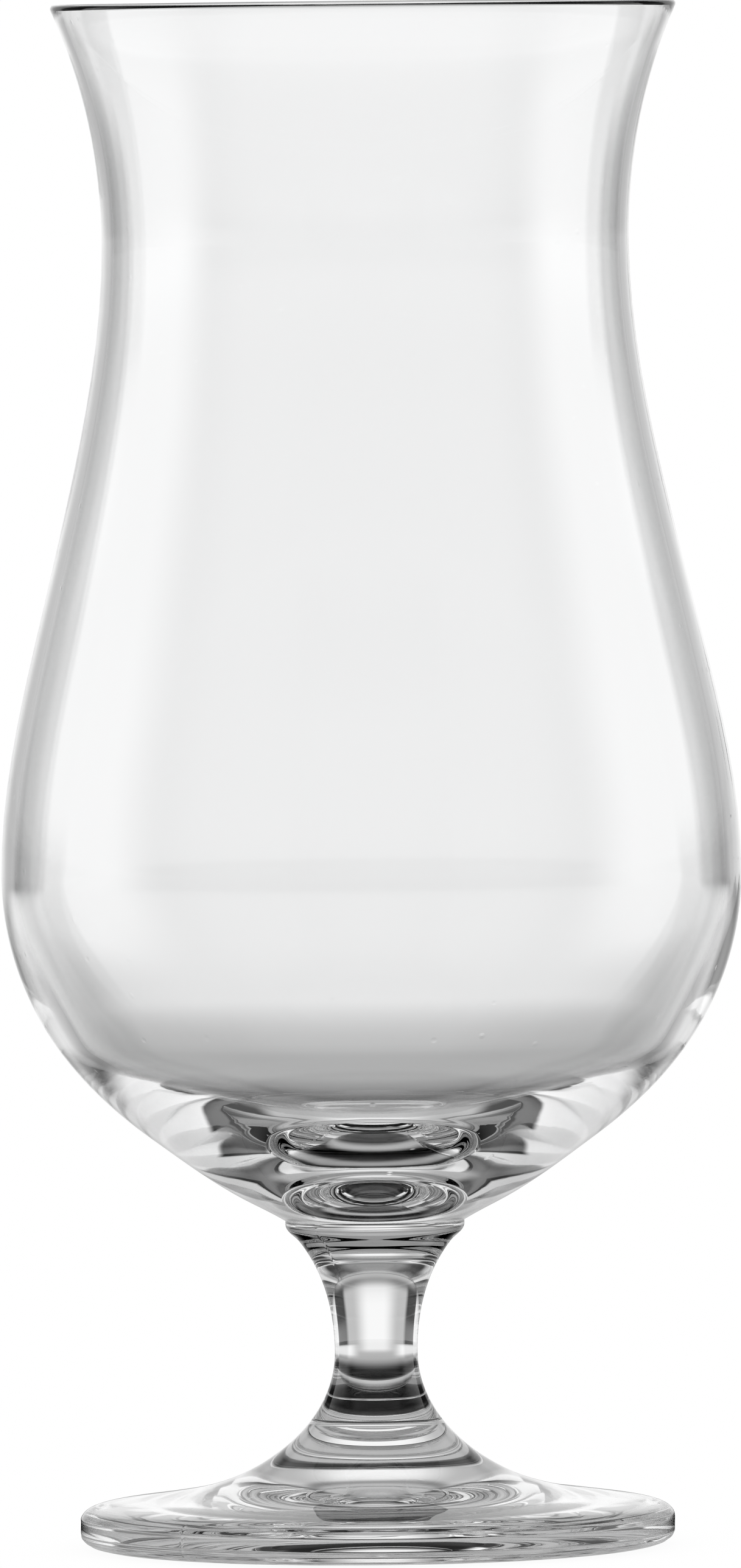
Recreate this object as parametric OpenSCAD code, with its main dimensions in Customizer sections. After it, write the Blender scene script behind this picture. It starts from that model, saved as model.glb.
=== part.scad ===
// Hurricane glass: a thin blown bowl with a flared mouth, seated on a short solid stem that runs out
// into a thick pressed foot. Millimetres, +Z up, origin on the axis in the plane that the foot rests on.
// Every piece is turned about the axis from half of its section. A section is a row of stations, each
// a point with the direction in which the outline leaves it, joined by smooth curves.

/* [Foot] */
// Widest diameter of the foot
foot_d = 75.6; // [60:0.1:92]
// How far the rounding under the edge runs in from the widest diameter
heel_w = 3.4; // [1:0.1:6]
// Height of the rounding under the edge
heel_h = 2.0; // [1:0.1:4]
// Height of the upright part of the edge
edge_h = 1.3; // [0.5:0.1:4]
// How far the rounding on top of the edge runs in
brow_w = 3.9; // [1:0.1:8]
// Height of the rounding on top of the edge
brow_h = 2.3; // [1:0.1:4]
// Slope of the foot just inside its edge, in degrees from level
brow_slope = 8.5; // [4:0.5:14]
// Diameter at which the foot turns up towards the stem
apron_d = 30.2; // [24:0.1:38]
// Rise of the foot's nearly level top, up to the turn
apron_h = 4.6; // [3:0.1:6]
// Slope at the turn, in degrees from level
apron_slope = 30.4; // [20:0.1:38]
// Diameter of the foot where the stem stands on it
neck_d = 16.6; // [13:0.1:20]
// Rise of the foot from the turn to the stem
neck_h = 5.8; // [4:0.1:8]
// Slope where foot and stem meet, in degrees from level
neck_slope = 53; // [44:1:62]
// Width of the flat ring that the foot rests on
ring_w = 3.2; // [1:0.1:6]
// Height of the shallow hollow under the foot, at its middle
hollow_h = 3.0; // [0.5:0.1:4]

/* [Stem] */
// Diameter of the stem at its narrowest
stem_d = 10.5; // [8:0.1:14]
// Height of the narrowest point above the foot's top
stem_narrow_h = 8.7; // [6:0.1:12]
// Diameter where the stem opens out quickest
flare_d = 19.2; // [16:0.1:21]
// Height from the narrowest point to there
flare_h = 14.0; // [10:0.1:18]
// Slope there, in degrees from level
flare_slope = 52; // [42:1:62]
// Diameter of the stem's upper end, which carries the bowl
collar_d = 22.8; // [21.5:0.1:27]
// Height of the rounding below the upper end
collar_h = 2.3; // [1.5:0.1:4]
// Height of the short upright shoulder under the bowl
shoulder_h = 0.4; // [0.2:0.1:1]

/* [Bowl outside] */
// Slope of the bowl's underside where it sits on the stem, in degrees from level
seat_slope = 31; // [26:1:38]
// Diameter at which the underside is flattest
dish_d = 31.0; // [28:0.1:38]
// Rise of the underside from the stem to there
dish_h = 2.2; // [1.6:0.1:3]
// Slope there, in degrees from level
dish_slope = 26.6; // [22:0.1:32]
// Diameter where the underside begins to turn up
base_d = 56.8; // [48:0.1:66]
// Rise to there
base_h = 8.5; // [7:0.1:11]
// Slope there, in degrees from level
base_slope = 36; // [30:1:43]
// Diameter on the round of the lower bowl
round_d = 80.6; // [70:0.1:88]
// Rise to there
round_h = 11.9; // [10:0.1:15]
// Slope there, in degrees from level
round_slope = 55.6; // [46:0.1:66]
// Widest diameter of the bowl
belly_d = 94.0; // [82:0.1:112]
// Rise to the widest diameter
belly_h = 21.5; // [18:0.1:26]
// Diameter at which the bowl draws in quickest
draw_d = 80.7; // [72:0.1:90]
// Rise to there
draw_h = 38.0; // [31:0.1:46]
// Lean of the wall there, in degrees from upright
draw_lean = 13.3; // [10:0.1:17]
// Diameter of the waist below the mouth
waist_d = 66.9; // [55:0.1:76]
// Rise to the waist
waist_h = 42.4; // [35:0.1:51]
// Outer diameter of the mouth
mouth_d = 79.3; // [70:0.1:95]
// Rise from the waist to the top of the rim
mouth_h = 30.1; // [25:0.1:37]
// Outward lean of the wall at the rim, in degrees from upright
mouth_lean = 24.2; // [18:0.1:30]

/* [Bowl wall] */
// Thickness of the rim, which is melted to a full round
rim_t = 1.0; // [0.8:0.1:1.4]
// Wall thickness at the waist
waist_t = 1.4; // [1.1:0.1:2]
// Wall thickness where the bowl draws in
draw_t = 1.6; // [1.2:0.1:2.4]
// Wall thickness at the widest diameter
belly_t = 1.9; // [1.4:0.1:3]
// Wall thickness on the round of the lower bowl
round_t = 2.7; // [2:0.1:4]
// Wall thickness where the underside begins to turn up
base_t = 4.4; // [3.5:0.1:6]
// How much flatter the inside is than the outside there, in degrees
base_ease = 8; // [4:0.5:10]
// Thickness of the glass on the axis, between the stem and the inside of the bowl
floor_t = 5.7; // [4.5:0.1:8]

/* [Hidden] */
// Largest turn between neighbouring points of a curve, in degrees
curve_step = 4;
// Fewest points on a curve
curve_min = 6;
$fn = 180;

// Directions in which an outline can leave a station, in degrees from the outward level direction
OUTWARD = 0;
UPRIGHT = 90;
INWARD = 180;

// Heights of the stations above the plane that the foot rests on
edge_z = heel_h;
edge_top_z = edge_z + edge_h;
brow_z = edge_top_z + brow_h;
apron_z = brow_z + apron_h;
neck_z = apron_z + neck_h;
stem_narrow_z = neck_z + stem_narrow_h;
flare_z = stem_narrow_z + flare_h;
collar_z = flare_z + collar_h;
seat_z = collar_z + shoulder_h;
dish_z = seat_z + dish_h;
base_z = dish_z + base_h;
round_z = base_z + round_h;
belly_z = round_z + belly_h;
draw_z = belly_z + draw_h;
waist_z = draw_z + waist_h;
rim_z = waist_z + mouth_h;
floor_z = seat_z + floor_t;

// Foot: radii worked out from its widest diameter
rest_r = foot_d / 2 - heel_w;
ring_r = rest_r - ring_w;
brow_r = foot_d / 2 - brow_w;
// The hollow is a cap of a sphere: this is its slope at the resting ring
hollow_slope = 2 * atan(hollow_h / ring_r);

// Rim: the middle of its round, and the direction of the wall below it
rim_dir = UPRIGHT - mouth_lean;
rim_mid = [(mouth_d - rim_t) / 2, rim_z - rim_t / 2];

// A station is a point of the outline and the direction in which the outline leaves it.
function station(r, z, dir) = [[r, z], dir];

// Moves a station square to its direction, into the glass, and may turn its direction.
function inset(s, t, turn = 0) = [s[0] + t * [-sin(s[1]), cos(s[1])], s[1] + turn];

// Points of the smooth curve from station a to station b, without b itself. The pull of each end is
// the one that makes the curve the nearest match to an arc of that turn.
function bend(a, b) =
    let (
        turn = b[1] - a[1],
        pull = norm(b[0] - a[0]) / pow(cos(turn / 4), 2),
        pull_a = pull * [cos(a[1]), sin(a[1])],
        pull_b = pull * [cos(b[1]), sin(b[1])],
        steps = max(curve_min, ceil(abs(turn) / curve_step))
    )
    [for (i = [0:steps - 1])
        let (u = i / steps)
        (1 - 3 * u * u + 2 * u * u * u) * a[0]
        + (u - 2 * u * u + u * u * u) * pull_a
        + (3 * u * u - 2 * u * u * u) * b[0]
        + (u * u * u - u * u) * pull_b];

// Points of the curves through a row of stations, with the last station itself.
function outline(stations) = concat(
    [for (i = [0:len(stations) - 2]) each bend(stations[i], stations[i + 1])],
    [stations[len(stations) - 1][0]]
);

// Points of a half round about a middle: from the outer side of a wall that comes up in direction dir,
// over its end, to its inner side.
function half_round(middle, radius, dir) =
    let (steps = ceil(180 / curve_step))
    [for (i = [1:steps - 1])
        let (turn = dir + 180 * i / steps)
        middle + radius * [sin(turn), -cos(turn)]];

function reversed(points) = [for (i = [len(points) - 1:-1:0]) points[i]];

// Stations of the bowl's outside, from the stem up to the rim
BOWL_OUTSIDE = [
    station(collar_d / 2, seat_z, seat_slope),
    station(dish_d / 2, dish_z, dish_slope),
    station(base_d / 2, base_z, base_slope),
    station(round_d / 2, round_z, round_slope),
    station(belly_d / 2, belly_z, UPRIGHT),
    station(draw_d / 2, draw_z, UPRIGHT + draw_lean),
    station(waist_d / 2, waist_z, UPRIGHT),
    inset([rim_mid, rim_dir], -rim_t / 2)
];

// Stations of the bowl's inside, from the middle of its floor up to the rim: each but the first is
// the outside's station moved in by the wall thickness there
BOWL_INSIDE = [
    station(0, floor_z, OUTWARD),
    inset(BOWL_OUTSIDE[2], base_t, -base_ease),
    inset(BOWL_OUTSIDE[3], round_t),
    inset(BOWL_OUTSIDE[4], belly_t),
    inset(BOWL_OUTSIDE[5], draw_t),
    inset(BOWL_OUTSIDE[6], waist_t),
    inset([rim_mid, rim_dir], rim_t / 2)
];

// Stations of the stem's side, from the foot up to the short shoulder under the bowl
STEM_SIDE = [
    station(neck_d / 2, neck_z, INWARD - neck_slope),
    station(stem_d / 2, stem_narrow_z, UPRIGHT),
    station(flare_d / 2, flare_z, flare_slope),
    station(collar_d / 2, collar_z, UPRIGHT)
];

// Stations of the hollow under the foot, from its middle out to the resting ring
FOOT_HOLLOW = [
    station(0, hollow_h, OUTWARD),
    station(ring_r, 0, OUTWARD - hollow_slope)
];

// Stations of the foot's edge below, and of its edge and top above the upright part
FOOT_HEEL = [
    station(rest_r, 0, OUTWARD),
    station(foot_d / 2, edge_z, UPRIGHT)
];
FOOT_TOP = [
    station(foot_d / 2, edge_top_z, UPRIGHT),
    station(brow_r, brow_z, INWARD - brow_slope),
    station(apron_d / 2, apron_z, INWARD - apron_slope),
    station(neck_d / 2, neck_z, INWARD - neck_slope)
];

// Half of the bowl's section: its seat on the stem, the outside, the rim and the inside
module bowl_section() {
    polygon(concat(
        [[0, seat_z]],
        outline(BOWL_OUTSIDE),
        half_round(rim_mid, rim_t / 2, rim_dir),
        reversed(outline(BOWL_INSIDE))
    ));
}

// Half of the stem's section: solid, with a flat end at the foot and one at the bowl
module stem_section() {
    polygon(concat(
        [[0, neck_z]],
        outline(STEM_SIDE),
        [[collar_d / 2, seat_z], [0, seat_z]]
    ));
}

// Half of the foot's section: the hollow, the resting ring, the edge, and the top up to the stem
module foot_section() {
    polygon(concat(
        outline(FOOT_HOLLOW),
        outline(FOOT_HEEL),
        outline(FOOT_TOP),
        [[0, neck_z]]
    ));
}

module bowl() {
    color("aliceblue", 0.35)
        rotate_extrude()
            bowl_section();
}

module stem() {
    color("lightcyan", 0.6)
        rotate_extrude()
            stem_section();
}

module foot() {
    color("lightblue", 0.6)
        rotate_extrude()
            foot_section();
}

bowl();
stem();
foot();
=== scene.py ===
"""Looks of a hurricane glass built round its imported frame: blown bowl, solid stem, pressed foot."""
import logging
import math
from dataclasses import dataclass
from enum import Enum
from typing import Any, Sequence

import bpy
import numpy as np
from mathutils import Matrix, Vector


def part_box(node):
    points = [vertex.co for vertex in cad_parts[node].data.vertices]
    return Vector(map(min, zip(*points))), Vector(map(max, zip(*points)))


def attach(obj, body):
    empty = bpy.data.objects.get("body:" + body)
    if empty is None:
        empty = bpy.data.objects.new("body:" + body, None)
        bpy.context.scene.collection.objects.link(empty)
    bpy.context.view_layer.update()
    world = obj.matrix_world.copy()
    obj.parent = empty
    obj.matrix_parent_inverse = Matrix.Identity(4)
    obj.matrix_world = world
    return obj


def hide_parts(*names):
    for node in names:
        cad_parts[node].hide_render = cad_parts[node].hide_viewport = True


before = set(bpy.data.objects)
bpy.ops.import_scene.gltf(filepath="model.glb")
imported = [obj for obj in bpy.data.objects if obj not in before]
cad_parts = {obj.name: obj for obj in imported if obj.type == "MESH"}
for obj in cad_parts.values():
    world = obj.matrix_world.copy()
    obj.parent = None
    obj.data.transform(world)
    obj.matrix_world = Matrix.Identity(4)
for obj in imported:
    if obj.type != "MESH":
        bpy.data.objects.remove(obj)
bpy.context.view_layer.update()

LOG = logging.getLogger("hurricane_glass")
ROOT = "root"

MM = 0.001
FULL_TURN = 360.0
# Directions of a section's outline, in degrees: level away from the axis, straight up, level towards it
OUTWARD = 0.0
UPRIGHT = 90.0
INWARD = 180.0

WHITE = (1.0, 1.0, 1.0, 1.0)
# Scale that leaves a pattern as fine along each axis as its node makes it
EVEN = (1.0, 1.0, 1.0)
# The floor lies this far under the resting plane, so that it never meets the glass
FLOOR_GAP = 0.2 * MM

# Finest turn between neighbouring points of a section, in degrees, and the fewest points on a curve
CURVE_STEP = 1.6
CURVE_MIN = 10
# Turn between neighbouring points of the rim's small half round, in degrees
RIM_STEP = 6.4
# Fewest steps round the axis
ROUND_STEPS = 224


class Slot(Enum):
    """The material slots that every piece of the glass has, in order."""

    SURFACE = 0
    WELD = 1


@dataclass(frozen=True)
class Station:
    """A point of a section and the direction in which the outline leaves it.

    Attributes:
        r: Radius, in metres.
        z: Height, in metres.
        direction: Direction, in degrees up from the level outward one.
    """

    r: float
    z: float
    direction: float

    def inset(self, thickness: float, turn: float = 0.0) -> "Station":
        """Moves the station square to its direction, into the glass.

        Args:
            thickness: How far it moves, in metres.
            turn: How much its direction turns, in degrees.

        Returns:
            The moved station.
        """
        angle = math.radians(self.direction)
        return Station(
            self.r - thickness * math.sin(angle),
            self.z + thickness * math.cos(angle),
            self.direction + turn,
        )


def heading(degrees: float) -> np.ndarray:
    """Unit vector of a direction in the plane of a section."""
    angle = math.radians(degrees)
    return np.array([math.cos(angle), math.sin(angle)])


def bend(start: Station, end: Station) -> np.ndarray:
    """Points of the smooth curve between two stations, without the end itself.

    The curve is a cubic in u from 0 to 1: the start times (1 - 3uu + 2uuu), the end times (3uu - 2uuu),
    and the two end directions times (u - 2uu + uuu) and (uuu - uu). Each direction is as long as makes
    the curve the nearest match to an arc of that turn: the chord over the squared cosine of a quarter of
    the turn.

    Args:
        start: The first station.
        end: The second station.

    Returns:
        An array of points, one row of radius and height each.
    """
    first = np.array([start.r, start.z])
    last = np.array([end.r, end.z])
    turn = end.direction - start.direction
    pull = np.linalg.norm(last - first) / math.cos(math.radians(turn / 4)) ** 2
    steps = max(CURVE_MIN, math.ceil(abs(turn) / CURVE_STEP))
    u = (np.arange(steps) / steps)[:, None]
    return (
        (1 - 3 * u**2 + 2 * u**3) * first
        + (u - 2 * u**2 + u**3) * pull * heading(start.direction)
        + (3 * u**2 - 2 * u**3) * last
        + (u**3 - u**2) * pull * heading(end.direction)
    )


def outline(stations: Sequence[Station]) -> np.ndarray:
    """Points of the curves through a row of stations, with the last station itself.

    Args:
        stations: The stations in order.

    Returns:
        An array of points, one row of radius and height each.
    """
    curves = [bend(a, b) for a, b in zip(stations[:-1], stations[1:])]
    last = stations[-1]
    return np.vstack([*curves, [[last.r, last.z]]])


def half_round(middle: np.ndarray, radius: float, direction: float) -> np.ndarray:
    """Points of a half circle about a middle, from a wall's outer side over its end to the inner side.

    At a turn t from the wall's direction a point is the middle plus the radius times (sin t, -cos t).

    Args:
        middle: Radius and height of the middle.
        radius: Radius of the half circle.
        direction: Direction in which the wall comes up to it, in degrees.

    Returns:
        An array of points between the two ends, which are left out.
    """
    steps = math.ceil(INWARD / RIM_STEP)
    angles = np.radians(direction + INWARD * np.arange(1, steps) / steps)
    return middle + radius * np.stack([np.sin(angles), -np.cos(angles)], axis=1)


def smooth_window(value: np.ndarray, low: float, high: float) -> np.ndarray:
    """Rises smoothly from 0 at low to 1 at high: 3uu - 2uuu of the share u of the way."""
    u = np.clip((value - low) / (high - low), 0.0, 1.0)
    return 3 * u**2 - 2 * u**3


@dataclass(frozen=True)
class Seams:
    """Fine raised lines that the halves of a mould leave on pressed glass.

    Attributes:
        azimuths: Where the lines are round the axis, in degrees.
        height: How far they stand out, in metres.
        width: How wide they are, in metres.
        fine_reach: How far the finer steps go to each side of a line, in degrees.
        fine_steps: How many finer steps a line has.
        crowding: How strongly those steps crowd at the line itself.
        decimals: Decimals of a degree to which azimuths are told apart.
    """

    azimuths: tuple[float, ...] = (229.0, 49.0)
    height: float = 0.025 * MM
    width: float = 0.2 * MM
    fine_reach: float = 2.4
    fine_steps: int = 14
    crowding: float = 3.0
    decimals: int = 4

    def angles(self) -> np.ndarray:
        """Azimuths round a piece: evenly spread ones, and finer ones close to each line.

        The finer ones are the hyperbolic sine of even steps, so that they crowd at the line.

        Returns:
            The azimuths in rising order, in radians.
        """
        even = np.linspace(0, FULL_TURN, ROUND_STEPS, endpoint=False)
        lines = np.array(self.azimuths or (0.0,))
        crowd = np.sinh(np.linspace(-self.crowding, self.crowding, self.fine_steps + 1))
        spread = crowd / np.sinh(self.crowding) * self.fine_reach
        fine = (lines[:, None] + spread[None, :]).ravel() % FULL_TURN
        return np.radians(np.unique(np.round(np.concatenate([even, fine]), self.decimals)))

    def relief(self, azimuth: np.ndarray, radius: np.ndarray) -> np.ndarray:
        """Height of the lines: a bell curve over the arc between a point and the nearest line.

        Args:
            azimuth: Azimuths of the grid, in radians.
            radius: Radii of the grid, in metres.

        Returns:
            Heights over the plain surface, in metres.
        """
        total = np.zeros(np.broadcast(azimuth, radius).shape)
        for line in self.azimuths:
            away = (azimuth - math.radians(line) + math.pi) % math.tau - math.pi
            total += np.exp(-((away * radius / self.width) ** 2))
        return self.height * total


@dataclass(frozen=True)
class PlanWave:
    """A sine wave over the ground plan, swayed from side to side by a slower one.

    Attributes:
        pace: Waves for each wave length along x and along y.
        sway: How far the slower wave shifts it, in radians.
        sway_pace: The slower wave's own waves for each wave length along x and along y.
    """

    pace: tuple[float, float]
    sway: float
    sway_pace: tuple[float, float]

    def level(self, x: np.ndarray, y: np.ndarray) -> np.ndarray:
        """Sine of the wave's phase, which is shifted by the sway times the slower wave's sine.

        Args:
            x: Places along x, in radians of one wave length.
            y: Places along y, in radians of one wave length.

        Returns:
            Levels from -1 to 1.
        """
        shift = self.sway * np.sin(self.sway_pace[0] * x + self.sway_pace[1] * y)
        return np.sin(self.pace[0] * x + self.pace[1] * y + shift)


@dataclass(frozen=True)
class Waves:
    """Long shallow waves that a blown surface keeps: crossed waves over the plan and one up the side.

    Attributes:
        height: Most that they stand out, in metres.
        length: Wave length, in metres.
        plan: The waves over the plan.
        climb: Waves for each wave length up the side.
        spread: Waves for each wave length out from the axis that the one up the side has.
        sway: How far that wave is shifted round the axis, in radians.
    """

    height: float
    length: float
    plan: tuple[PlanWave, ...] = (
        PlanWave(pace=(1.0, 0.6), sway=1.3, sway_pace=(0.0, 0.37)),
        PlanWave(pace=(-0.5, 0.83), sway=1.0, sway_pace=(0.41, 0.0)),
    )
    climb: float = 1.4
    spread: float = 0.42
    sway: float = 2.0

    def relief(self, azimuth: np.ndarray, radius: np.ndarray, height: np.ndarray) -> np.ndarray:
        """Height of the waves over the plain surface.

        Args:
            azimuth: Azimuths of the grid, in radians.
            radius: Radii of the grid, in metres.
            height: Heights of the grid, in metres.

        Returns:
            The height times the mean of the waves over the plan and the one up the side, in metres.
        """
        pace = math.tau / self.length
        x = pace * radius * np.cos(azimuth)
        y = pace * radius * np.sin(azimuth)
        climb = pace * (self.climb * height + self.spread * radius) + self.sway * np.sin(azimuth)
        levels = [wave.level(x, y) for wave in self.plan] + [np.sin(climb)]
        return self.height * sum(levels) / len(levels)


@dataclass(frozen=True)
class Rings:
    """Shallow rings that turning and pressing leave in thick glass, drifting in and out round the axis.

    Attributes:
        height: Most that they stand out, in metres.
        length: Wave length of the coarse rings along the section, in metres.
        drift: How far both kinds of rings drift, in radians.
        phase: Shift of both kinds, in radians.
        fineness: How many times as fine the fine rings are.
        fine_lobes: How often the fine rings drift out and in on one turn.
        fine_lag: How far the phase holds back the fine rings' drift.
        fine_sway: How far the fine rings lie to one side of the axis, in radians.
    """

    height: float
    length: float
    drift: float
    phase: float
    fineness: float = 1.7
    fine_lobes: int = 2
    fine_lag: float = 1.3
    fine_sway: float = 2.0

    def relief(self, azimuth: np.ndarray, way: np.ndarray) -> np.ndarray:
        """Height of the rings over the plain surface.

        Args:
            azimuth: Azimuths of the grid, in radians.
            way: Length of the section up to each of its points, in metres.

        Returns:
            The height times the mean of a coarse and a fine sine wave along the way, each of them
            shifted by slow sine waves of the azimuth, in metres.
        """
        pace = math.tau * way / self.length + self.phase
        coarse = np.sin(pace + self.drift * np.sin(azimuth + self.phase))
        fine_drift = self.drift * np.sin(self.fine_lobes * azimuth - self.fine_lag * self.phase)
        fine = np.sin(self.fineness * pace + fine_drift + self.fine_sway * np.cos(azimuth))
        return self.height * (coarse + fine) / 2


@dataclass(frozen=True)
class Section:
    """Half of a turned piece's section, from its foot on the axis round to its head on the axis.

    Attributes:
        points: Radius and height of each point, in metres.
        slots: Material slot of the face that starts at each point but the last.
    """

    points: np.ndarray
    slots: np.ndarray

    @staticmethod
    def of(*runs: tuple[np.ndarray, Slot]) -> "Section":
        """Joins runs of points into one section.

        Args:
            runs: Points and the slot of the faces that start at each of them.

        Returns:
            The joined section.
        """
        points = np.vstack([np.atleast_2d(run) for run, _ in runs])
        slots = np.concatenate([np.full(len(np.atleast_2d(run)), slot.value) for run, slot in runs])
        return Section(points, slots[:-1])

    def columns(self) -> tuple[np.ndarray, np.ndarray]:
        """Radii and heights of the points, each in a column."""
        return self.points[:, :1], self.points[:, 1:]

    def ways(self) -> np.ndarray:
        """Length of the section up to each of its points, in a column."""
        steps = np.linalg.norm(np.diff(self.points, axis=0), axis=1)
        return np.concatenate([[0.0], np.cumsum(steps)])[:, None]

    def normals(self) -> np.ndarray:
        """Directions square to the section: the run along it turned by a right angle.

        Returns:
            Unit vectors out of the glass, one row for each point.
        """
        along = np.gradient(self.points, axis=0)
        along /= np.linalg.norm(along, axis=1, keepdims=True)
        return np.stack([along[:, 1], -along[:, 0]], axis=1)


def turned_mesh(name: str, section: Section, azimuths: np.ndarray, relief: np.ndarray) -> bpy.types.Mesh:
    """Turns a section about the axis and closes it at both poles.

    A point of the surface is (r cos a, r sin a, z) of the section's radius r and height z at azimuth a,
    moved out along the section's own normal by the relief there.

    Args:
        name: Name of the mesh.
        section: The section, with its first and last point on the axis.
        azimuths: Azimuths of the grid, in radians.
        relief: How far each inner grid point stands out, one row for each point of the section.

    Returns:
        The closed mesh, with smooth faces apart from the flat joints.
    """
    rows = section.points[1:-1]
    normals = section.normals()[1:-1]
    radius = rows[:, :1] + normals[:, :1] * relief[1:-1]
    height = rows[:, 1:] + normals[:, 1:] * relief[1:-1]
    ring = len(azimuths)
    count = len(rows)
    grid = np.stack([radius * np.cos(azimuths), radius * np.sin(azimuths), height], axis=2)
    poles = np.array([[0, 0, section.points[0, 1]], [0, 0, section.points[-1, 1]]])
    places = np.vstack([grid.reshape(-1, 3), poles])

    here = np.arange(ring)
    after = np.roll(here, -1)
    low = np.arange(count - 1)[:, None] * ring
    quads = np.stack([low + here, low + after, low + ring + after, low + ring + here], axis=2)
    quads = quads.reshape(-1, 4)
    first, last = count * ring, count * ring + 1
    top = (count - 1) * ring
    floor_fan = np.stack([np.full(ring, first), after, here], axis=1)
    head_fan = np.stack([top + here, top + after, np.full(ring, last)], axis=1)

    corners = np.concatenate([quads.ravel(), floor_fan.ravel(), head_fan.ravel()])
    sizes = np.concatenate([np.full(len(quads), 4), np.full(2 * ring, 3)])
    starts = np.concatenate([[0], np.cumsum(sizes)[:-1]])
    slots = np.concatenate(
        [np.repeat(section.slots[1:-1], ring), np.repeat(section.slots[[0, -1]], ring)]
    )

    mesh = bpy.data.meshes.new(name)
    mesh.vertices.add(len(places))
    mesh.vertices.foreach_set("co", places.astype(np.float32).ravel())
    mesh.loops.add(len(corners))
    mesh.loops.foreach_set("vertex_index", corners.astype(np.int32))
    mesh.polygons.add(len(sizes))
    mesh.polygons.foreach_set("loop_start", starts.astype(np.int32))
    mesh.polygons.foreach_set("material_index", slots.astype(np.int32))
    mesh.polygons.foreach_set("use_smooth", slots == Slot.SURFACE.value)
    mesh.update(calc_edges=True)
    mesh.validate()
    return mesh


class Wire:
    """A node's output socket that can be used in arithmetic: each expression adds its Math node."""

    def __init__(self, sheet: "Sheet", socket: bpy.types.NodeSocket) -> None:
        """Wraps a socket of a node on a sheet."""
        self.sheet = sheet
        self.socket = socket

    def _math(self, operation: str, *values: Any, clamp: bool = False) -> "Wire":
        """Adds a Math node on the values, which are wires or numbers."""
        return self.sheet.node("ShaderNodeMath", {"operation": operation, "use_clamp": clamp}, *values)

    def __add__(self, other: Any) -> "Wire":
        """Sum of the two."""
        return self._math("ADD", self, other)

    __radd__ = __add__

    def __mul__(self, other: Any) -> "Wire":
        """Product of the two."""
        return self._math("MULTIPLY", self, other)

    __rmul__ = __mul__

    def __sub__(self, other: Any) -> "Wire":
        """This less the other."""
        return self._math("SUBTRACT", self, other)

    def __rsub__(self, other: Any) -> "Wire":
        """The other less this."""
        return self._math("SUBTRACT", other, self)

    def __abs__(self) -> "Wire":
        """This without its sign."""
        return self._math("ABSOLUTE", self)

    def arctan2(self, other: Any) -> "Wire":
        """Angle of the point with this as its height and the other as its run, in radians."""
        return self._math("ARCTAN2", self, other)

    def arcsine(self) -> "Wire":
        """Angle with this as its sine, in radians."""
        return self._math("ARCSINE", self)

    def clamped(self) -> "Wire":
        """This, kept between 0 and 1."""
        return self._math("ADD", self, 0.0, clamp=True)

    def smooth_step(self, low: float, high: float) -> "Wire":
        """Rises smoothly from 0 where this is low to 1 where it is high."""
        settings = {"interpolation_type": "SMOOTHSTEP"}
        return self.sheet.node("ShaderNodeMapRange", settings, self, low, high)


class Sheet:
    """The nodes of one material or of the world."""

    def __init__(self, tree: bpy.types.NodeTree) -> None:
        """Empties a node tree to start from."""
        self.tree = tree
        tree.nodes.clear()

    def node(
        self,
        kind: str,
        settings: dict[str, Any] | None = None,
        *values: Any,
        out: int | str | None = 0,
        **named: Any,
    ) -> Any:
        """Adds a node, sets its settings first, then the values or links of its sockets.

        Args:
            kind: The node's type.
            settings: Attributes of the node, or "stops" for the stops of a colour ramp.
            values: Values or wires of its sockets in order; None leaves a socket alone.
            out: The output to hand back, or None for all of them by name.
            named: Values or wires of sockets by name, with _ for a space.

        Returns:
            The wire of the chosen output, or a dictionary of wires.
        """
        made = self.tree.nodes.new(kind)
        for key, value in (settings or {}).items():
            if key == "stops":
                self._stops(made, value)
            else:
                setattr(made, key, value)
        by_name = {key.replace("_", " "): value for key, value in named.items()}
        for place, value in [*enumerate(values), *by_name.items()]:
            if isinstance(value, Wire):
                self.tree.links.new(value.socket, made.inputs[place])
            elif value is not None:
                made.inputs[place].default_value = value
        if out is None:
            return {socket.name: Wire(self, socket) for socket in made.outputs}
        return Wire(self, made.outputs[out] if made.outputs else None)

    @staticmethod
    def _stops(ramp: bpy.types.Node, stops: Sequence[tuple[float, float]]) -> None:
        """Sets the grey stops of a colour ramp.

        Args:
            ramp: The ramp's node.
            stops: A place and a brightness for each stop.
        """
        elements = ramp.color_ramp.elements
        while len(elements) < len(stops):
            elements.new(1.0)
        for element, (place, grey) in zip(elements, stops):
            element.position = place
            element.color = (grey, grey, grey, 1.0)

    def mapped(self, scale: tuple[float, float, float], turn: float = 0.0) -> Wire:
        """Object coordinates, scaled and turned about the axis.

        Args:
            scale: Scale along each axis.
            turn: Turn about the upright axis, in degrees.

        Returns:
            The mapped coordinates.
        """
        place = self.node("ShaderNodeTexCoord", None, out="Object")
        return self.node(
            "ShaderNodeMapping", None, place, Scale=scale, Rotation=(0, 0, math.radians(turn))
        )


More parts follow.
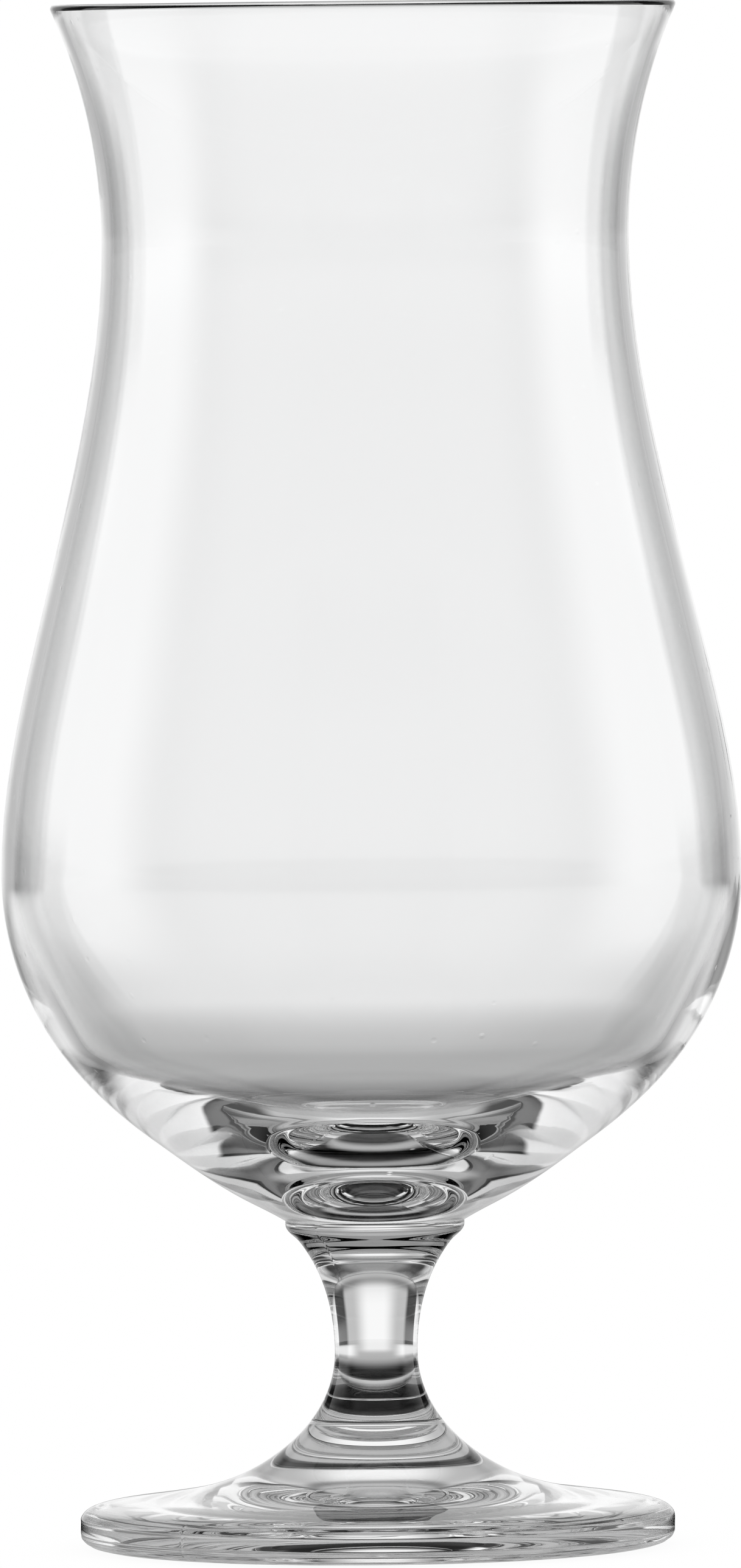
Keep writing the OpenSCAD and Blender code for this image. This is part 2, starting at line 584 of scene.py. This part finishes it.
@dataclass(frozen=True)
class ClearGlass:
    """Colourless soda-lime glass with the faint marks that forming and handling leave on it.

    Attributes:
        name: Name of the material.
        tint: Colour that the glass gives to light that goes through a surface.
        ior: Refractive index.
        haze: Most roughness that fingermarks and wiping give.
        smear_scale: How fine the wiped patches are.
        smear_detail: How many finer layers their edges have.
        smear_swirl: How much they swirl.
        smear_turn: How far they are turned about the axis, in degrees.
        smear_edges: Levels of the noise between which a patch fades in.
        cords: Depth of the streaks drawn out in the glass, in metres.
        cord_scale: How fine the streaks are across and along the axis.
        cord_detail: How many finer layers the streaks have.
        ripple: Depth of the skin's ripple, in metres.
        ripple_scale: How fine the ripple is.
        ripple_detail: How many finer layers the ripple has.
        speck: Depth of the rare specks, in metres.
        speck_scale: How close the specks are.
        speck_turn: How far they are turned about the axis, in degrees.
        speck_sharpness: How small each is in its share of the surface.
    """

    name: str
    tint: tuple[float, float, float, float] = (0.995, 0.997, 0.998, 1.0)
    ior: float = 1.52
    haze: float = 0.012
    smear_scale: float = 34.0
    smear_detail: float = 4.0
    smear_swirl: float = 0.6
    smear_turn: float = 20.0
    smear_edges: tuple[float, float] = (0.56, 0.85)
    cords: float = 0.004 * MM
    cord_scale: tuple[float, float, float] = (160.0, 160.0, 8.0)
    cord_detail: float = 2.0
    ripple: float = 0.004 * MM
    ripple_scale: float = 90.0
    ripple_detail: float = 1.0
    speck: float = 0.006 * MM
    speck_scale: float = 160.0
    speck_turn: float = 35.0
    speck_sharpness: float = 14.0

    def material(self) -> bpy.types.Material:
        """The glass as a material: a Principled shader whose roughness and normal vary.

        Returns:
            The material.
        """
        made = bpy.data.materials.new(self.name)
        made.use_nodes = True
        sheet = Sheet(made.node_tree)
        smear = sheet.node(
            "ShaderNodeTexNoise",
            None,
            sheet.mapped(EVEN, self.smear_turn),
            Scale=self.smear_scale,
            Detail=self.smear_detail,
            Distortion=self.smear_swirl,
        )
        clean, smeared = self.smear_edges
        wiped = sheet.node("ShaderNodeValToRGB", {"stops": [(clean, 0.0), (smeared, 1.0)]}, smear)
        streak = sheet.node(
            "ShaderNodeTexNoise", None, sheet.mapped(self.cord_scale), Scale=1.0, Detail=self.cord_detail
        )
        ripple = sheet.node(
            "ShaderNodeTexNoise",
            None,
            sheet.mapped(EVEN),
            Scale=self.ripple_scale,
            Detail=self.ripple_detail,
        )
        cell = sheet.node(
            "ShaderNodeTexVoronoi", None, sheet.mapped(EVEN, self.speck_turn), Scale=self.speck_scale
        )
        speck = (1.0 - cell * self.speck_sharpness).clamped()
        depth = streak * self.cords + ripple * self.ripple + speck * self.speck
        normal = sheet.node("ShaderNodeBump", None, Strength=1.0, Distance=1.0, Height=depth)
        body = sheet.node(
            "ShaderNodeBsdfPrincipled",
            None,
            Base_Color=self.tint,
            Roughness=wiped * self.haze,
            IOR=self.ior,
            Transmission_Weight=1.0,
            Normal=normal,
        )
        sheet.node("ShaderNodeOutputMaterial", None, Surface=body)
        return made


@dataclass(frozen=True)
class Weld:
    """The hot joint between two pieces: light goes through it unbent, as the glass is one there."""

    name: str = "hot_joint"
    shade: tuple[float, float, float, float] = WHITE

    def material(self) -> bpy.types.Material:
        """The joint as a material that lets all light through.

        Returns:
            The material.
        """
        made = bpy.data.materials.new(self.name)
        made.use_nodes = True
        sheet = Sheet(made.node_tree)
        clear = sheet.node("ShaderNodeBsdfTransparent", None, self.shade)
        sheet.node("ShaderNodeOutputMaterial", None, Surface=clear)
        return made


class GlassPiece:
    """A turned piece of the glass that stands for its node of the frame.

    In the pieces' sizes a name ends in d for a diameter, h for a height, mostly over the station before
    it, t for the wall's thickness at a station and w for a width. These are in metres, as is z, a height
    over the table. A slope, a lean out of the upright and an ease are in degrees.

    Attributes:
        node: Name of the node.
        slot: Name of a material slot; not used.
        finish: Its glass.
        seams: Its mould seams.
    """

    node: str
    slot: str
    finish: ClearGlass
    seams: Seams = Seams()

    def section(self) -> Section:
        """Half of the piece's section."""
        raise NotImplementedError

    def relief(self, section: Section, azimuths: np.ndarray) -> np.ndarray:
        """How far the surface stands out from the plain turned form, one row for each section point."""
        raise NotImplementedError

    def build(self, weld: bpy.types.Material) -> bpy.types.Object:
        """Makes the piece, dresses it and puts it on its body.

        Args:
            weld: Material of the flat joints.

        Returns:
            The finished object.
        """
        section = self.section()
        azimuths = self.seams.angles()
        mesh = turned_mesh(f"{self.node}_glass", section, azimuths, self.relief(section, azimuths))
        mesh.materials.append(self.finish.material())
        mesh.materials.append(weld)
        piece = bpy.data.objects.new(f"{self.node}_glass", mesh)
        bpy.context.scene.collection.objects.link(piece)
        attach(piece, ROOT)
        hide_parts(self.node)
        LOG.info("%s: %d vertices, %d faces", piece.name, len(mesh.vertices), len(mesh.polygons))
        return piece


@dataclass(frozen=True)
class Bowl(GlassPiece):
    """The blown bowl: solid underside, round belly, waist and flared mouth.

    The waves in its wall are sunk by sink under the plain surface. They fade out over calm_w up to the
    lip, which is lip_w wide. The inside is laid base_ease flatter than the outside at the base.
    """

    seat_z: float
    rim_z: float
    collar_d: float = 22.8 * MM
    seat_slope: float = 31.0
    dish_d: float = 31.0 * MM
    dish_h: float = 2.2 * MM
    dish_slope: float = 26.6
    base_d: float = 56.8 * MM
    base_h: float = 8.5 * MM
    base_slope: float = 36.0
    round_d: float = 80.6 * MM
    round_h: float = 11.9 * MM
    round_slope: float = 55.6
    belly_d: float = 94.0 * MM
    belly_h: float = 21.5 * MM
    draw_d: float = 80.7 * MM
    draw_h: float = 38.0 * MM
    draw_lean: float = 13.3
    waist_d: float = 66.9 * MM
    waist_h: float = 42.4 * MM
    mouth_d: float = 79.3 * MM
    mouth_lean: float = 24.2
    rim_t: float = 1.0 * MM
    waist_t: float = 1.4 * MM
    draw_t: float = 1.6 * MM
    belly_t: float = 1.9 * MM
    round_t: float = 2.7 * MM
    base_t: float = 4.4 * MM
    base_ease: float = 8.0
    floor_t: float = 5.7 * MM
    node: str = "bowl"
    slot: str = "blown_glass"
    finish: ClearGlass = ClearGlass("blown_glass")
    seams: Seams = Seams(azimuths=())
    waves: Waves = Waves(height=0.015 * MM, length=34 * MM)
    sink: float = 0.03 * MM
    calm_w: float = 4 * MM
    lip_w: float = 2 * MM

    def outside(self) -> list[Station]:
        """The outside of the wall.

        Returns:
            Its stations, from the stem up to the rim.
        """
        dish_z = self.seat_z + self.dish_h
        base_z = dish_z + self.base_h
        round_z = base_z + self.round_h
        belly_z = round_z + self.belly_h
        draw_z = belly_z + self.draw_h
        return [
            Station(self.collar_d / 2, self.seat_z, self.seat_slope),
            Station(self.dish_d / 2, dish_z, self.dish_slope),
            Station(self.base_d / 2, base_z, self.base_slope),
            Station(self.round_d / 2, round_z, self.round_slope),
            Station(self.belly_d / 2, belly_z, UPRIGHT),
            Station(self.draw_d / 2, draw_z, UPRIGHT + self.draw_lean),
            Station(self.waist_d / 2, draw_z + self.waist_h, UPRIGHT),
            self.rim().inset(-self.rim_t / 2),
        ]

    def rim(self) -> Station:
        """The middle of the rim's round."""
        half = self.rim_t / 2
        return Station(self.mouth_d / 2 - half, self.rim_z - half, UPRIGHT - self.mouth_lean)

    def inside(self) -> list[Station]:
        """The inside of the wall: the outside's stations, moved in by the wall thickness at each.

        Returns:
            Its stations, from the middle of the floor up to the rim.
        """
        _, _, base, lower, belly, draw, waist, _ = self.outside()
        return [
            Station(0.0, self.seat_z + self.floor_t, OUTWARD),
            base.inset(self.base_t, -self.base_ease),
            lower.inset(self.round_t),
            belly.inset(self.belly_t),
            draw.inset(self.draw_t),
            waist.inset(self.waist_t),
            self.rim().inset(self.rim_t / 2),
        ]

    def section(self) -> Section:
        """The seat on the stem, the outside, the rim's round and the inside, back to the axis.

        Returns:
            The section.
        """
        rim = self.rim()
        middle = np.array([rim.r, rim.z])
        return Section.of(
            (np.array([0.0, self.seat_z]), Slot.WELD),
            (outline(self.outside()), Slot.SURFACE),
            (half_round(middle, self.rim_t / 2, rim.direction), Slot.SURFACE),
            (outline(self.inside())[::-1], Slot.SURFACE),
        )

    def relief(self, section: Section, azimuths: np.ndarray) -> np.ndarray:
        """Long shallow waves, fading out at the joint, the lip and the middle of the floor.

        The waves are sunk, so that they stay inside the solid's box.

        Args:
            section: Half of the bowl's section.
            azimuths: Azimuths of the grid, in radians.

        Returns:
            How far the surface stands out, one row for each section point, in metres.
        """
        radius, height = section.columns()
        lip_z = self.rim_z - self.lip_w
        at_lip = smooth_window(height, lip_z - self.calm_w, lip_z)
        fade = smooth_window(radius, self.collar_d / 2, self.collar_d) * (1 - at_lip)
        return fade * (self.waves.relief(azimuths, radius, height) - self.sink)


@dataclass(frozen=True)
class Stem(GlassPiece):
    """The solid stem between foot and bowl: neck, narrow waist, flare and upright shoulder."""

    neck_z: float
    seat_z: float
    neck_d: float = 16.6 * MM
    neck_slope: float = 53.0
    stem_d: float = 10.5 * MM
    stem_narrow_h: float = 8.7 * MM
    flare_d: float = 19.2 * MM
    flare_h: float = 14.0 * MM
    flare_slope: float = 52.0
    collar_d: float = 22.8 * MM
    shoulder_h: float = 0.4 * MM
    node: str = "stem"
    slot: str = "stem_glass"
    finish: ClearGlass = ClearGlass("stem_glass", cords=0.003 * MM, ripple=0.006 * MM)

    @property
    def narrow_z(self) -> float:
        """Height at which the stem is narrowest."""
        return self.neck_z + self.stem_narrow_h

    @property
    def shoulder_z(self) -> float:
        """Height at which the upright shoulder under the bowl starts."""
        return self.seat_z - self.shoulder_h

    def section(self) -> Section:
        """The flat end on the foot, the side up to the shoulder, and the flat end under the bowl.

        Returns:
            The section.
        """
        side = outline(
            [
                Station(self.neck_d / 2, self.neck_z, INWARD - self.neck_slope),
                Station(self.stem_d / 2, self.narrow_z, UPRIGHT),
                Station(self.flare_d / 2, self.narrow_z + self.flare_h, self.flare_slope),
                Station(self.collar_d / 2, self.shoulder_z, UPRIGHT),
            ]
        )
        return Section.of(
            (np.array([0.0, self.neck_z]), Slot.WELD),
            (side, Slot.SURFACE),
            (np.array([self.collar_d / 2, self.seat_z]), Slot.WELD),
            (np.array([0.0, self.seat_z]), Slot.WELD),
        )

    def relief(self, section: Section, azimuths: np.ndarray) -> np.ndarray:
        """The mould seams, which show on the flare and fade out at the joint with the bowl.

        Args:
            section: Half of the stem's section.
            azimuths: Azimuths of the grid, in radians.

        Returns:
            How far the surface stands out, one row for each section point, in metres.
        """
        radius, height = section.columns()
        on_flare = smooth_window(height, self.narrow_z, self.narrow_z + self.flare_h)
        at_joint = smooth_window(height, self.shoulder_z - self.shoulder_h, self.shoulder_z)
        return on_flare * (1 - at_joint) * self.seams.relief(azimuths, radius) * (radius > 0)


@dataclass(frozen=True)
class Foot(GlassPiece):
    """The thick pressed foot: hollow, resting ring, round heel, upright edge, brow and apron.

    It has rings in its surface under it, round its edge and on its top.
    """

    neck_z: float
    foot_d: float = 75.6 * MM
    heel_w: float = 3.4 * MM
    heel_h: float = 2.0 * MM
    edge_h: float = 1.3 * MM
    brow_w: float = 3.9 * MM
    brow_h: float = 2.3 * MM
    brow_slope: float = 8.5
    apron_d: float = 30.2 * MM
    apron_h: float = 4.6 * MM
    apron_slope: float = 30.4
    neck_d: float = 16.6 * MM
    neck_slope: float = 53.0
    ring_w: float = 3.2 * MM
    hollow_h: float = 3.0 * MM
    node: str = "foot"
    slot: str = "foot_glass"
    finish: ClearGlass = ClearGlass(
        "foot_glass", cords=0.002 * MM, ripple=0.003 * MM, ripple_scale=120.0
    )
    under: Rings = Rings(height=0.05 * MM, length=9 * MM, drift=1.9, phase=0.8)
    edge: Rings = Rings(height=0.035 * MM, length=1.4 * MM, drift=0.1, phase=0.3)
    top: Rings = Rings(height=0.02 * MM, length=13 * MM, drift=1.2, phase=2.1)

    @property
    def rest_r(self) -> float:
        """Outer radius of the resting ring."""
        return self.foot_d / 2 - self.heel_w

    @property
    def ring_r(self) -> float:
        """Inner radius of the resting ring."""
        return self.rest_r - self.ring_w

    @property
    def edge_top_z(self) -> float:
        """Height at which the upright edge turns in."""
        return self.heel_h + self.edge_h

    def section(self) -> Section:
        """The hollow, the resting ring, the edge and the top, up to the flat joint with the stem.

        The hollow is close to a ball's cap, which meets the table at twice the slope of its chord.

        Returns:
            The section.
        """
        hollow_slope = 2 * math.degrees(math.atan(self.hollow_h / self.ring_r))
        brow_z = self.edge_top_z + self.brow_h
        below = outline(
            [Station(0.0, self.hollow_h, OUTWARD), Station(self.ring_r, 0.0, OUTWARD - hollow_slope)]
        )
        heel = outline(
            [Station(self.rest_r, 0.0, OUTWARD), Station(self.foot_d / 2, self.heel_h, UPRIGHT)]
        )
        top = outline(
            [
                Station(self.foot_d / 2, self.edge_top_z, UPRIGHT),
                Station(self.foot_d / 2 - self.brow_w, brow_z, INWARD - self.brow_slope),
                Station(self.apron_d / 2, brow_z + self.apron_h, INWARD - self.apron_slope),
                Station(self.neck_d / 2, self.neck_z, INWARD - self.neck_slope),
            ]
        )
        return Section.of(
            (below, Slot.SURFACE),
            (heel, Slot.SURFACE),
            (top[:-1], Slot.SURFACE),
            (top[-1], Slot.WELD),
            (np.array([0.0, self.neck_z]), Slot.WELD),
        )

    def relief(self, section: Section, azimuths: np.ndarray) -> np.ndarray:
        """Rings under the foot, round its edge and on its top, and the mould seams round its edge.

        Args:
            section: Half of the foot's section.
            azimuths: Azimuths of the grid, in radians.

        Returns:
            How far the surface stands out, one row for each section point, in metres.
        """
        radius, height = section.columns()
        way = section.ways()
        off_middle = smooth_window(way, 0.0, self.neck_d / 2)
        off_table = 1 - smooth_window(radius, self.ring_r - self.ring_w, self.ring_r)
        past_heel = smooth_window(way, self.rest_r, self.foot_d / 2)
        on_top = smooth_window(height, self.edge_top_z, self.edge_top_z + self.brow_h) * past_heel
        on_edge = past_heel * (1 - on_top)
        off_joint = smooth_window(radius, self.neck_d / 2, self.apron_d / 2)
        return (
            self.under.relief(azimuths, way) * off_middle * off_table * (1 - past_heel)
            + (self.edge.relief(azimuths, way) - self.edge.height) * on_edge
            + self.top.relief(azimuths, way) * on_top * off_joint
            + self.seams.relief(azimuths, radius) * on_edge
        )


@dataclass(frozen=True)
class Edge:
    """A soft edge between dark and light: its middle and its width, in degrees or in metres."""

    at: float
    width: float

    def past(self, value: Wire) -> Wire:
        """Rises smoothly from 0 before the edge to 1 past it."""
        return value.smooth_step(self.at - self.width / 2, self.at + self.width / 2)


@dataclass(frozen=True)
class SoftLight:
    """A soft light round the glass, or a painted pool of light on the floor, with its twin across the
    middle.

    Attributes:
        strength: Brightness of its middle.
        near: Edge of its azimuth towards the back, where 0 is behind the glass and 180 behind the camera.
        far: Edge of its azimuth towards the camera.
        low: Lower edge of its elevation in degrees, or on the floor its inner edge in metres.
        high: Upper edge of its elevation in degrees, or on the floor its outer edge in metres.
    """

    strength: float
    near: Edge | None = None
    far: Edge | None = None
    low: Edge | None = None
    high: Edge | None = None

    def level(self, azimuth: Wire, reach: Wire) -> Wire | float:
        """Brightness in a direction: the strength times what each edge that it has lets through.

        Args:
            azimuth: The direction's azimuth from behind the glass, in degrees.
            reach: Its elevation in degrees, or on the floor the distance from the axis in metres.

        Returns:
            The brightness as a wire.
        """
        level: Wire | float = self.strength
        for value, opens, closes in ((azimuth, self.near, self.far), (reach, self.low, self.high)):
            if opens:
                level = opens.past(value) * level
            if closes:
                level = (1.0 - closes.past(value)) * level
        return level


@dataclass(frozen=True)
class Studio:
    """The plain pale set: white surroundings, a pale floor and soft lights. Sizes are in metres.

    The camera sees white paper all round. The glass sees the soft lights, a dim room and the floor, which
    glows with painted pools of light and painted shade.

    Attributes:
        floor_side: Side of the square floor.
        room: Brightness of the room between the lights.
        lights: The soft lights.
        painted_floor_light: Painted pools of light on the glowing floor, which only the glass sees;
            between them, as under the foot, the floor shows painted shade.
        shadow_reach: How near a piece must be to the floor to shade it.
        shadow: How much of the floor's light the contact shadow takes, at most.
        shadow_rays: Rays that look for pieces near a point of the floor.
    """

    floor_side: float = 60.0
    room: float = 0.04
    lights: tuple[SoftLight, ...] = (
        # The middle of the screen behind the glass, and the whole screen
        SoftLight(0.46, far=Edge(14, 16), high=Edge(24, 26)),
        SoftLight(0.5, far=Edge(32, 6), high=Edge(25, 10)),
        # The low gap between the screen and the side lights, and the side lights
        SoftLight(0.14, near=Edge(32, 6), far=Edge(54, 3), high=Edge(7, 8)),
        SoftLight(1.04, near=Edge(54, 3), far=Edge(98, 24), high=Edge(27, 26)),
        # The light over the screen, the ceiling, and the light behind the camera
        SoftLight(0.48, far=Edge(48, 20), low=Edge(30, 12), high=Edge(55, 30)),
        SoftLight(0.28, low=Edge(62, 20)),
        SoftLight(0.2, near=Edge(118, 20), high=Edge(53, 14)),
    )
    # Painted light: for the glass the floor glows with pools where the lights would fall on paper.
    # Between them it is painted dark, as under the foot and in front.
    painted_floor_light: tuple[SoftLight, ...] = (
        # A painted ring of light that the foot's outer part would gather
        SoftLight(0.5, low=Edge(0.031, 0.008), high=Edge(0.046, 0.014)),
        # Behind the glass, painted light: the near paper, then the paper lit under the screen and under
        # its middle
        SoftLight(0.3, far=Edge(75, 30), low=Edge(0.1, 0.06), high=Edge(1.0, 0.8)),
        SoftLight(0.15, far=Edge(32, 6), low=Edge(0.14, 0.06)),
        SoftLight(0.44, far=Edge(14, 16), low=Edge(0.4, 0.3)),
        # Painted patches of light to both sides of that, and the far paper behind the near one
        SoftLight(0.5, near=Edge(22, 16), far=Edge(54, 4), low=Edge(0.2, 0.12), high=Edge(0.9, 0.5)),
        SoftLight(0.3, far=Edge(32, 6), low=Edge(1.0, 0.8)),
        # Painted light under the side lights
        SoftLight(0.3, near=Edge(54, 4), far=Edge(75, 30), low=Edge(1.0, 0.8)),
        SoftLight(0.55, near=Edge(54, 4), far=Edge(98, 24), low=Edge(0.16, 0.12)),
        # In front, painted light: bright near the glass, and far off as dim as the room behind the camera
        SoftLight(0.4, near=Edge(75, 30), low=Edge(0.045, 0.01), high=Edge(1.35, 2.1)),
        SoftLight(0.4, near=Edge(98, 24), low=Edge(0.15, 0.1), high=Edge(1.35, 2.1)),
        SoftLight(0.4, near=Edge(75, 30), far=Edge(98, 24), low=Edge(1.35, 2.1)),
        SoftLight(0.14, near=Edge(98, 24), low=Edge(1.35, 2.1)),
        # Painted light all round, farther off
        SoftLight(0.04, low=Edge(1.4, 1.8)),
        SoftLight(0.06, low=Edge(8.0, 6.0)),
    )
    shadow_reach: float = 0.03
    shadow: float = 0.04
    shadow_rays: int = 8

    def build(self) -> None:
        """Makes the surroundings and the floor."""
        self._world()
        self._floor()

    @staticmethod
    def _azimuth(parts: dict[str, Wire]) -> Wire:
        """Azimuth from behind the glass, equal to both sides: the arctangent of X over Y, in degrees."""
        return abs(parts["X"].arctan2(parts["Y"])) * math.degrees(1)

    def _world(self) -> None:
        """White to the camera, and a dim room with soft lights over the far paper to the glass."""
        world = bpy.data.worlds.new("studio")
        bpy.context.scene.world = world
        world.use_nodes = True
        sheet = Sheet(world.node_tree)
        seen = sheet.node("ShaderNodeLightPath", out="Is Camera Ray")
        way = sheet.node("ShaderNodeTexCoord", out="Generated")
        parts = sheet.node("ShaderNodeSeparateXYZ", None, way, out=None)
        azimuth = self._azimuth(parts)
        elevation = parts["Z"].arcsine() * math.degrees(1)
        level = sum((light.level(azimuth, elevation) for light in self.lights), self.room)
        glow = sheet.node("ShaderNodeBackground", Color=WHITE, Strength=seen + (1.0 - seen) * level)
        sheet.node("ShaderNodeOutputWorld", Surface=glow)

    def _floor(self) -> None:
        """Glows white to the camera but for a painted soft contact shadow, and glows for the glass with
        painted pools of light and shade.
        """
        half = self.floor_side / 2
        mesh = bpy.data.meshes.new("floor")
        corners = [(-half, -half, 0), (half, -half, 0), (half, half, 0), (-half, half, 0)]
        mesh.from_pydata(corners, [], [tuple(range(len(corners)))])
        made = bpy.data.materials.new("floor_paper")
        made.use_nodes = True
        sheet = Sheet(made.node_tree)
        seen = sheet.node("ShaderNodeLightPath", out="Is Camera Ray")
        open_sky = sheet.node(
            "ShaderNodeAmbientOcclusion",
            {"samples": self.shadow_rays},
            Distance=self.shadow_reach,
            out="AO",
        )
        place = sheet.node("ShaderNodeTexCoord", out="Object")
        parts = sheet.node("ShaderNodeSeparateXYZ", None, place, out=None)
        away = sheet.node("ShaderNodeVectorMath", {"operation": "LENGTH"}, place, out="Value")
        azimuth = self._azimuth(parts)
        # Painted light and shade for the glass: the floor's glow is the sum of the painted pools of light
        painted_light_to_glass = sum(light.level(azimuth, away) for light in self.painted_floor_light)
        # Painted contact shadow: the camera's white glow is dimmed where a piece is near the floor
        to_camera = open_sky * self.shadow + (1.0 - self.shadow)
        level = seen * to_camera + (1.0 - seen) * painted_light_to_glass
        glow = sheet.node("ShaderNodeEmission", Color=WHITE, Strength=level)
        sheet.node("ShaderNodeOutputMaterial", Surface=glow)
        mesh.materials.append(made)
        floor = bpy.data.objects.new("floor", mesh)
        floor.location.z = -FLOOR_GAP
        bpy.context.scene.collection.objects.link(floor)


@dataclass(frozen=True)
class Camera:
    """The photograph's view: a long lens, a little above the rim.

    Attributes:
        frame_h: Height of the photograph's frame, in pixels.
        distance: Level distance from the axis, in metres.
        height: Height of the lens, in metres.
        aim_z: Height on the axis that it is aimed at, in metres.
        scale: Pixels for each metre at the axis.
        roll: Roll of the frame, in degrees.
        sensor: Width of the sensor, in millimetres.
        near_share: Nearest seen distance, as a share of the distance to the glass.
        far_share: Farthest seen distance, as the same share.
    """

    frame_h: int = 2576
    distance: float = 2.8
    height: float = 0.209
    aim_z: float = 0.0968
    scale: float = 12942.0
    roll: float = -0.574
    sensor: float = 36.0
    near_share: float = 0.01
    far_share: float = 10.0

    def build(self) -> bpy.types.Object:
        """Makes the camera and hands the scene to it.

        Returns:
            The camera.
        """
        place = Vector((0.0, -self.distance, self.height))
        aim = Vector((0.0, 0.0, self.aim_z))
        away = (aim - place).length
        data = bpy.data.cameras.new("camera")
        data.sensor_fit = "AUTO"
        data.sensor_width = self.sensor
        data.lens = self.scale * away * self.sensor / self.frame_h
        data.clip_start = away * self.near_share
        data.clip_end = away * self.far_share
        camera = bpy.data.objects.new("camera", data)
        bpy.context.scene.collection.objects.link(camera)
        look = (aim - place).to_track_quat("-Z", "Y").to_matrix().to_4x4()
        roll = Matrix.Rotation(math.radians(self.roll), len(look), "Z")
        camera.matrix_world = Matrix.Translation(place) @ look @ roll
        bpy.context.scene.camera = camera
        return camera


@dataclass(frozen=True)
class LightPaths:
    """How often light may be bent and thrown back before it is given up.

    Attributes:
        total: Most surfaces of any kind.
        bent: Most surfaces of glass that it goes into or out of.
        mirrored: Most surfaces that throw it back, as happens time and again in the stem's flare.
        clear: Most joints that it goes straight through.
        matt: Most matt surfaces.
        transform: How brightness becomes picture tones; this one keeps the whites white.
    """

    total: int = 72
    bent: int = 48
    mirrored: int = 44
    clear: int = 48
    matt: int = 2
    transform: str = "Standard"

    def apply(self) -> None:
        """Hands the limits and the tones to the scene."""
        scene = bpy.context.scene
        scene.view_settings.view_transform = self.transform
        scene.cycles.max_bounces = self.total
        scene.cycles.transmission_bounces = self.bent
        scene.cycles.glossy_bounces = self.mirrored
        scene.cycles.transparent_max_bounces = self.clear
        scene.cycles.diffuse_bounces = self.matt


def main() -> None:
    """Builds the camera, the studio and the glass, piece by piece."""
    logging.basicConfig(level=logging.INFO, format="%(name)s: %(message)s")
    Camera().build()
    Studio().build()
    LightPaths().apply()
    stem_low, stem_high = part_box("stem")
    rim_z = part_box("bowl")[1].z
    weld = Weld().material()
    pieces = [
        Bowl(seat_z=stem_high.z, rim_z=rim_z),
        Stem(neck_z=stem_low.z, seat_z=stem_high.z),
        Foot(neck_z=stem_low.z),
    ]
    for piece in pieces:
        piece.build(weld)


if __name__ == "__main__":
    main()
